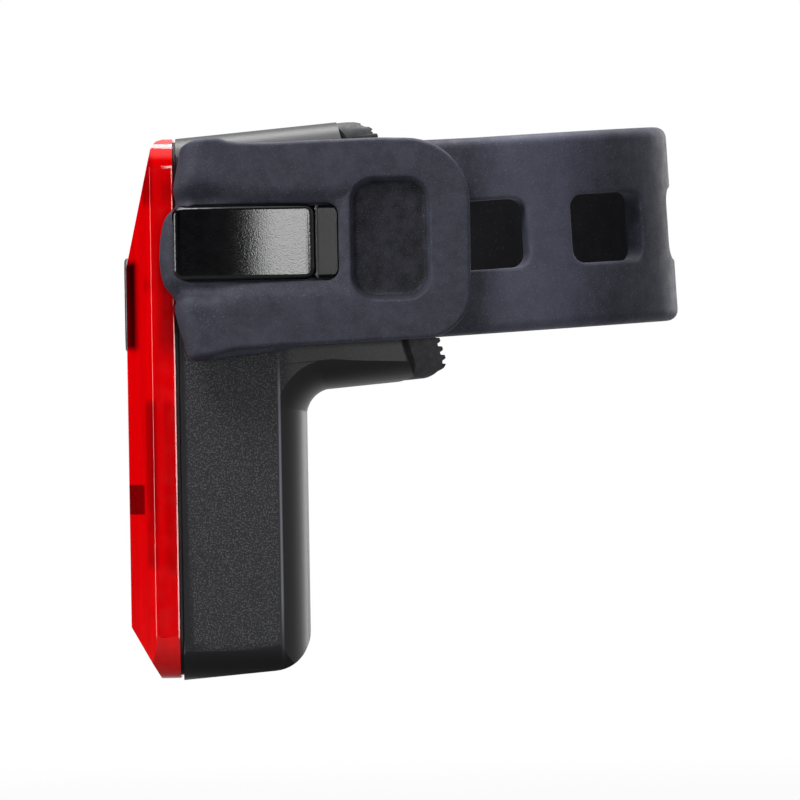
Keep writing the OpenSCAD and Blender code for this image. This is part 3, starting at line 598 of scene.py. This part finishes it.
def rounded(cx, cy, width, height, radius, grow=0.0, step=0.35):
    """Points round a rounded rectangle, the same number whatever grow is."""
    points = []
    straight = ((width / 2 - radius), (height / 2 - radius))
    arc_n = 8
    for i, (sx, sy) in enumerate(((1, 1), (-1, 1), (-1, -1), (1, -1))):
        for k in range(arc_n + 1):
            a = math.pi / 2 * (i + k / arc_n)
            points.append((cx + sx * straight[0] + (radius + grow) * math.cos(a),
                           cy + sy * straight[1] + (radius + grow) * math.sin(a)))
        length = 2 * straight[0] if i % 2 == 0 else 2 * straight[1]
        n = max(1, int(length / step))
        ax, ay = points[-1]
        dx, dy = ((-1, 0), (0, -1), (1, 0), (0, 1))[i]
        points += [(ax + dx * length * k / n, ay + dy * length * k / n) for k in range(1, n)]
    return np.array(points)


def arc(cx, cy, radius, angles):
    return [(cx + radius * math.cos(a), cy + radius * math.sin(a)) for a in angles]


def outline(grow):
    """The strap's outline, anticlockwise, drawn out by grow."""
    left = FOLD_S - FOLD_L - END_S
    right = TAIL_L
    step = 0.4
    low_w, top_w = right - TAIL_LOW_R, right - TAIL_TOP_R
    low_v = float(bottom_edge(low_w)) + TAIL_LOW_R
    top_v = float(top_edge(top_w)) - TAIL_TOP_R
    points = arc(left + ANCHOR_R, -STRAP_HALF + ANCHOR_R, ANCHOR_R, [math.pi * (1 + k / 16) for k in range(9)])
    points += [(w, float(bottom_edge(w))) for w in np.arange(left + ANCHOR_R + step, low_w - 0.1, step)]
    points += arc(low_w, low_v, TAIL_LOW_R, [-math.pi / 2 + math.pi / 2 * k / 12 for k in range(13)])
    points += [(right, v) for v in np.arange(low_v + step, top_v - 0.1, step)]
    points += arc(top_w, top_v, TAIL_TOP_R, [math.pi / 2 * k / 12 for k in range(13)])
    points += [(w, float(top_edge(w))) for w in np.arange(top_w - step, left + ANCHOR_R + 0.1, -step)]
    points += arc(left + ANCHOR_R, STRAP_HALF - ANCHOR_R, ANCHOR_R,
                  [math.pi / 2 * (1 + k / 8) for k in range(9)])
    points += [(left, v) for v in np.arange(STRAP_HALF - ANCHOR_R - step, ANCHOR_R - STRAP_HALF + 0.1, -step)]
    points = np.array(points)
    along = np.roll(points, -1, 0) - np.roll(points, 1, 0)
    along /= np.linalg.norm(along, axis=1)[:, None]
    return points + np.reshape(grow, (-1, 1)) * np.stack([along[:, 1], -along[:, 0]], 1)


def ring(bm, points, height):
    heights = np.broadcast_to(height, len(points))
    return [bm.verts.new((p[0], p[1], h)) for p, h in zip(points, heights)]


def skin(bm, rings, inward):
    """Faces between rings of the same length."""
    n = len(rings[0])
    for a, b in zip(rings, rings[1:]):
        for i in range(n):
            j = (i + 1) % n
            quad = (a[i], a[j], b[j], b[i])
            bm.faces.new(quad[::-1] if inward else quad)


def edges_of(bm, verts):
    return [bm.edges.get((verts[i], verts[(i + 1) % len(verts)])) or
            bm.edges.new((verts[i], verts[(i + 1) % len(verts)])) for i in range(len(verts))]


def edge_profile(radius):
    """Insets and heights from the strap's lower face round its edge to its upper face."""
    turns = [math.pi / 2 * k / EDGE_STEPS for k in range(EDGE_STEPS + 1)]
    upper = [(radius * (1 - math.cos(a)), STRAP_T / 2 - radius + radius * math.sin(a)) for a in turns]
    return [(inset, -height) for inset, height in reversed(upper)] + upper


# Insets and heights from the tail's face down to the thumb recess's floor
THUMB_PROFILE = ((0.3, 1.4), (0.18, 1.385), (0.06, 1.34), (-0.03, 1.26), (-0.1, 1.15), (-0.3, 0.75),
                 (-0.5, 0.35), (-0.62, 0.14), (-0.78, 0.0), (-1.0, -0.08), (-1.3, -0.1), (-1.8, -0.1))


def cut(bm, place_at, normal, test):
    """Slices the faces that pass test along a plane."""
    faces = [f for f in bm.faces if test(f)]
    geom = list({v for f in faces for v in f.verts}) + list({e for f in faces for e in f.edges}) + faces
    bmesh.ops.bisect_plane(bm, geom=geom, dist=1e-5, plane_co=place_at, plane_no=normal)


def flat_strap():
    """The whole strap laid flat, with its holes and the thumb recess."""
    bm = bmesh.new()
    lower, upper = [], []
    radius = TAIL_EDGE + (LOOP_EDGE - TAIL_EDGE) * smooth_step((-outline(0)[:, 0] - 8) / 22)
    rings = [ring(bm, outline(-inset), height) for inset, height in edge_profile(radius)]
    skin(bm, rings, False)
    lower += edges_of(bm, rings[0])
    upper += edges_of(bm, rings[-1])
    holes = [(FOLD_S - FOLD_L - s, 0.0, *LADDER) for s in LADDER_S]
    slot_mid, slot_len = sum(SLOT_W) / 2, SLOT_W[1] - SLOT_W[0]
    holes.append((slot_mid, SLOT_V, slot_len, 2 * SLOT_HALF, SLOT_R))
    for hole in holes:
        rings = [ring(bm, rounded(*hole, grow=inset), height) for inset, height in edge_profile(TAIL_EDGE)]
        skin(bm, rings, True)
        lower += edges_of(bm, rings[0])
        upper += edges_of(bm, rings[-1])
    rings = [ring(bm, rounded(THUMB_W, THUMB_V, *THUMB, grow=grow), height) for grow, height in THUMB_PROFILE]
    skin(bm, rings, False)
    upper += edges_of(bm, rings[0])
    floor_edges = edges_of(bm, rings[-1])
    for edges, normal in ((upper, (0, 0, 1)), (lower, (0, 0, -1)), (floor_edges, (0, 0, 1))):
        bmesh.ops.triangle_fill(bm, use_beauty=True, use_dissolve=False, edges=edges, normal=normal)
    bmesh.ops.recalc_face_normals(bm, faces=bm.faces[:])
    return bm


FOLD_CUTS = 19
RIM_CUTS = (0.75, 1.05, 1.4, 1.8, 2.3, 3.0)  # cuts that let the slot's rim sink
ALONG, ACROSS = (1, 0, 0), (0, 1, 0)


def slice_strap(bm):
    """Cuts that let the strap bend and swell smoothly."""
    def near(low, high):
        return lambda f: low < f.calc_center_median().x < high or any(low < v.co.x < high for v in f.verts)

    loop_w = FOLD_S - FOLD_L
    for w in np.linspace(-FOLD_L, 0, FOLD_CUTS):
        cut(bm, (w, 0, 0), ALONG, lambda f: True)
    for w in np.arange(0.35, 12, 0.45):
        cut(bm, (w, 0, 0), ALONG, near(-0.1, 13))
    for w in np.arange(-FOLD_L - 0.8, -FOLD_L - 9, -0.8):
        cut(bm, (w, 0, 0), ALONG, near(-FOLD_L - 10, -FOLD_L + 0.1))
    for s in np.arange(0, 2 * APEX_S + 0.1, 1.0):
        cut(bm, (loop_w - s, 0, 0), ALONG, near(loop_w - END_S, loop_w + 1))
    for v in np.arange(-13.2, 12.5, 0.5):
        cut(bm, (0, v, 0), ACROSS, near(-FOLD_L - 9, 12))
    for off in RIM_CUTS:
        cut(bm, (SLOT_W[1] + off, 0, 0), ALONG, near(12, 22))
        for side in (-1, 1):
            cut(bm, (0, side * (SLOT_HALF + off) + SLOT_V, 0), ACROSS, near(11.5, 22))
    return bm


def part_mesh(name, places, normals, faces):
    """One stretch of the strap as a mesh of its own, shaded as part of the whole."""
    used = sorted({i for face in faces for i in face})
    index = {old: new for new, old in enumerate(used)}
    mesh = bpy.data.meshes.new(name)
    mesh.from_pydata([tuple(places[i]) for i in used], [], [[index[i] for i in face] for face in faces])
    ends = bmesh.new()
    ends.from_mesh(mesh)
    bmesh.ops.holes_fill(ends, edges=[e for e in ends.edges if e.is_boundary], sides=0)
    ends.to_mesh(mesh)
    ends.free()
    mesh.update()
    loop_normals = []
    for k, face in enumerate(mesh.polygons):
        face.use_smooth = True
        for i in face.vertices:
            loop_normals.append(tuple(normals[used[i]]) if k < len(faces) else tuple(face.normal))
    mesh.normals_split_custom_set(loop_normals)
    obj = bpy.data.objects.new(name, mesh)
    scene.collection.objects.link(obj)
    mesh.materials.append(MATERIALS["strap_silicone"])
    return obj


def build_strap():
    """The strap's three stretches: loop, fold and tail."""
    bm = slice_strap(flat_strap())
    bm.verts.ensure_lookup_table()
    flat = np.array([v.co for v in bm.verts], float)
    faces = [[v.index for v in f.verts] for f in bm.faces]
    places = place(flat)
    for v, p in zip(bm.verts, places):
        v.co = p
    bm.normal_update()
    normals = np.array([v.normal for v in bm.verts], float)
    bm.free()
    groups = {"loop": [], "fold": [], "tail": []}
    for face in faces:
        w = flat[face, 0].mean()
        groups["tail" if w > 0 else "loop" if w < -FOLD_L else "fold"].append(face)
    return {name: part_mesh("strap_" + name + "_skin", places, normals, group)
            for name, group in groups.items()}


strap = build_strap()
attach(strap["loop"], "light")
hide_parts("strap_loop")
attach(strap["tail"], "tail")
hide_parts("strap_tail")
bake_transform(strap["fold"])
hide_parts("strap_fold")


# Studio: pale floor, soft light, camera

FLOOR_HALF = 4.0
FLOOR_DROP = 0.0155      # room for the open cover
FLOOR_GREY = 0.2
FLOOR_SHARE = 0.95       # how white the camera sees the floor near the part
# Where the floor shows in gloss: behind the part and to its right, from none to the level given
FLOOR_GLOSS = (("X", -0.06, -0.02, 1.0), ("Y", -0.02, 0.05, 0.8))


def stage_floor(low):
    """A grey floor that the camera sees as white, with the part's shadow kept near it."""
    corners = [(x * FLOOR_HALF, y * FLOOR_HALF, low) for x, y in ((-1, -1), (1, -1), (1, 1), (-1, 1))]
    mesh = bpy.data.meshes.new("floor")
    mesh.from_pydata(corners, [], [(0, 1, 2, 3)])
    floor = bpy.data.objects.new("floor", mesh)
    scene.collection.objects.link(floor)
    mat = bpy.data.materials.new("floor_white")
    mat.use_nodes = True
    tree = mat.node_tree
    tree.nodes.clear()
    path = tree.nodes.new("ShaderNodeLightPath")
    span = tree.nodes.new("ShaderNodeVectorMath")
    span.operation = "LENGTH"
    tree.links.new(coords(mat), span.inputs[0])
    away = map_range(tree, span.outputs["Value"], 0.06, 0.3, FLOOR_SHARE, 1.0)
    seen = math_step(tree, "MAXIMUM", path.outputs["Is Camera Ray"], path.outputs["Is Transmission Ray"])
    mirrored = path.outputs["Is Glossy Ray"]
    for axis, start, end, level in FLOOR_GLOSS:
        mirrored = product(mat, remap(mat, axis_value(mat, axis), start, end, 0.0, level), mirrored)
    share = math_step(tree, "ADD", product(mat, seen, away), mirrored)
    pale = tree.nodes.new("ShaderNodeBsdfDiffuse")
    pale.inputs["Color"].default_value = (FLOOR_GREY, FLOOR_GREY, FLOOR_GREY, 1)
    glow = tree.nodes.new("ShaderNodeEmission")
    glow.inputs["Color"].default_value = (1, 1, 1, 1)
    out = tree.nodes.new("ShaderNodeOutputMaterial")
    shader = mix_shaders(tree, share, pale.outputs["BSDF"], glow.outputs["Emission"])
    tree.links.new(shader, out.inputs["Surface"])
    mesh.materials.append(mat)


def world_light():
    """White to the camera; dim in front of the part; pale behind, to the right and above in gloss."""
    world = bpy.data.worlds.new("studio")
    scene.world = world
    world.use_nodes = True
    tree = world.node_tree
    tree.nodes.clear()
    out = tree.nodes.new("ShaderNodeOutputWorld")
    path = tree.nodes.new("ShaderNodeLightPath")
    where = tree.nodes.new("ShaderNodeTexCoord")
    split = tree.nodes.new("ShaderNodeSeparateXYZ")
    tree.links.new(where.outputs["Generated"], split.inputs["Vector"])

    def ramp(axis, low, high, start, end):
        return map_range(tree, split.outputs[axis], low, high, start, end)

    def back(strength=None):
        node = tree.nodes.new("ShaderNodeBackground")
        node.inputs["Color"].default_value = (1, 1, 1, 1)
        if strength:
            tree.links.new(strength, node.inputs["Strength"])
        return node.outputs["Background"]

    rear = math_step(tree, "MULTIPLY", ramp("Y", 0.0, 0.6, 0.012, 1.2), ramp("X", -0.6, 0.3, 0.0, 1.0))
    right = math_step(tree, "ADD", rear, ramp("X", 0.2, 1.0, 0.0, 0.75))
    mirrored = math_step(tree, "ADD", right, ramp("Z", 0.55, 0.95, 0.0, 1.6))
    plain = back(ramp("Y", 0.0, 0.6, 0.012, 0.2))
    shade = mix_shaders(tree, path.outputs["Is Glossy Ray"], plain, back(mirrored))
    tree.links.new(mix_shaders(tree, path.outputs["Is Camera Ray"], shade, back()), out.inputs["Surface"])


def soft_box(name, at, width, height, power):
    """An area lamp aimed at the middle of the picture."""
    light = bpy.data.lights.new(name, "AREA")
    light.shape = "RECTANGLE"
    light.size = width
    light.size_y = height
    light.energy = power
    obj = bpy.data.objects.new(name, light)
    scene.collection.objects.link(obj)
    aim = CENTRE - Vector(at)
    obj.matrix_world = Matrix.Translation(at) @ aim.to_track_quat("-Z", "Y").to_matrix().to_4x4()


# Lamps: place, width and height in metres, and power in watts
LAMPS = {
    "strip": ((0.274, -1.286, 0.0), 0.44, 0.3, 4.8),
    "key": ((-0.4, -0.5, 0.8), 0.45, 0.35, 7.0),
    "top": ((0.0, 0.12, 0.8), 0.5, 0.35, 8.0),
    "left": ((-0.95, -0.38, 0.05), 0.4, 0.5, 4.4),
    "rim": ((0.55, 0.68, 0.1), 0.4, 0.6, 3.0),
}
CENTRE = Vector((-0.007726, -0.017, -0.01881))  # middle of the picture
ROLL = math.radians(0.96)  # the photo is turned by this much
DISTANCE = 2.0
FIELD = 0.0941             # width of the picture at the part
SENSOR = 36


def camera():
    """Level with the part and square to its side, as in the photo."""
    data = bpy.data.cameras.new("camera")
    data.sensor_width = SENSOR
    data.lens = SENSOR * DISTANCE / FIELD
    data.clip_start = 0.05
    data.clip_end = 50
    obj = bpy.data.objects.new("camera", data)
    scene.collection.objects.link(obj)
    look = Vector((0, 1, 0))
    up = Vector((math.sin(ROLL), 0, math.cos(ROLL)))
    right = look.cross(up).normalized()
    up = right.cross(look)
    turn = Matrix((right, up, -look)).transposed().to_4x4()
    obj.matrix_world = Matrix.Translation(CENTRE - DISTANCE * look) @ turn
    scene.camera = obj


stage_floor(cad_box[0][2] - FLOOR_DROP)
world_light()
for lamp, setting in LAMPS.items():
    soft_box(lamp, *setting)
camera()
scene.view_settings.view_transform = "Standard"
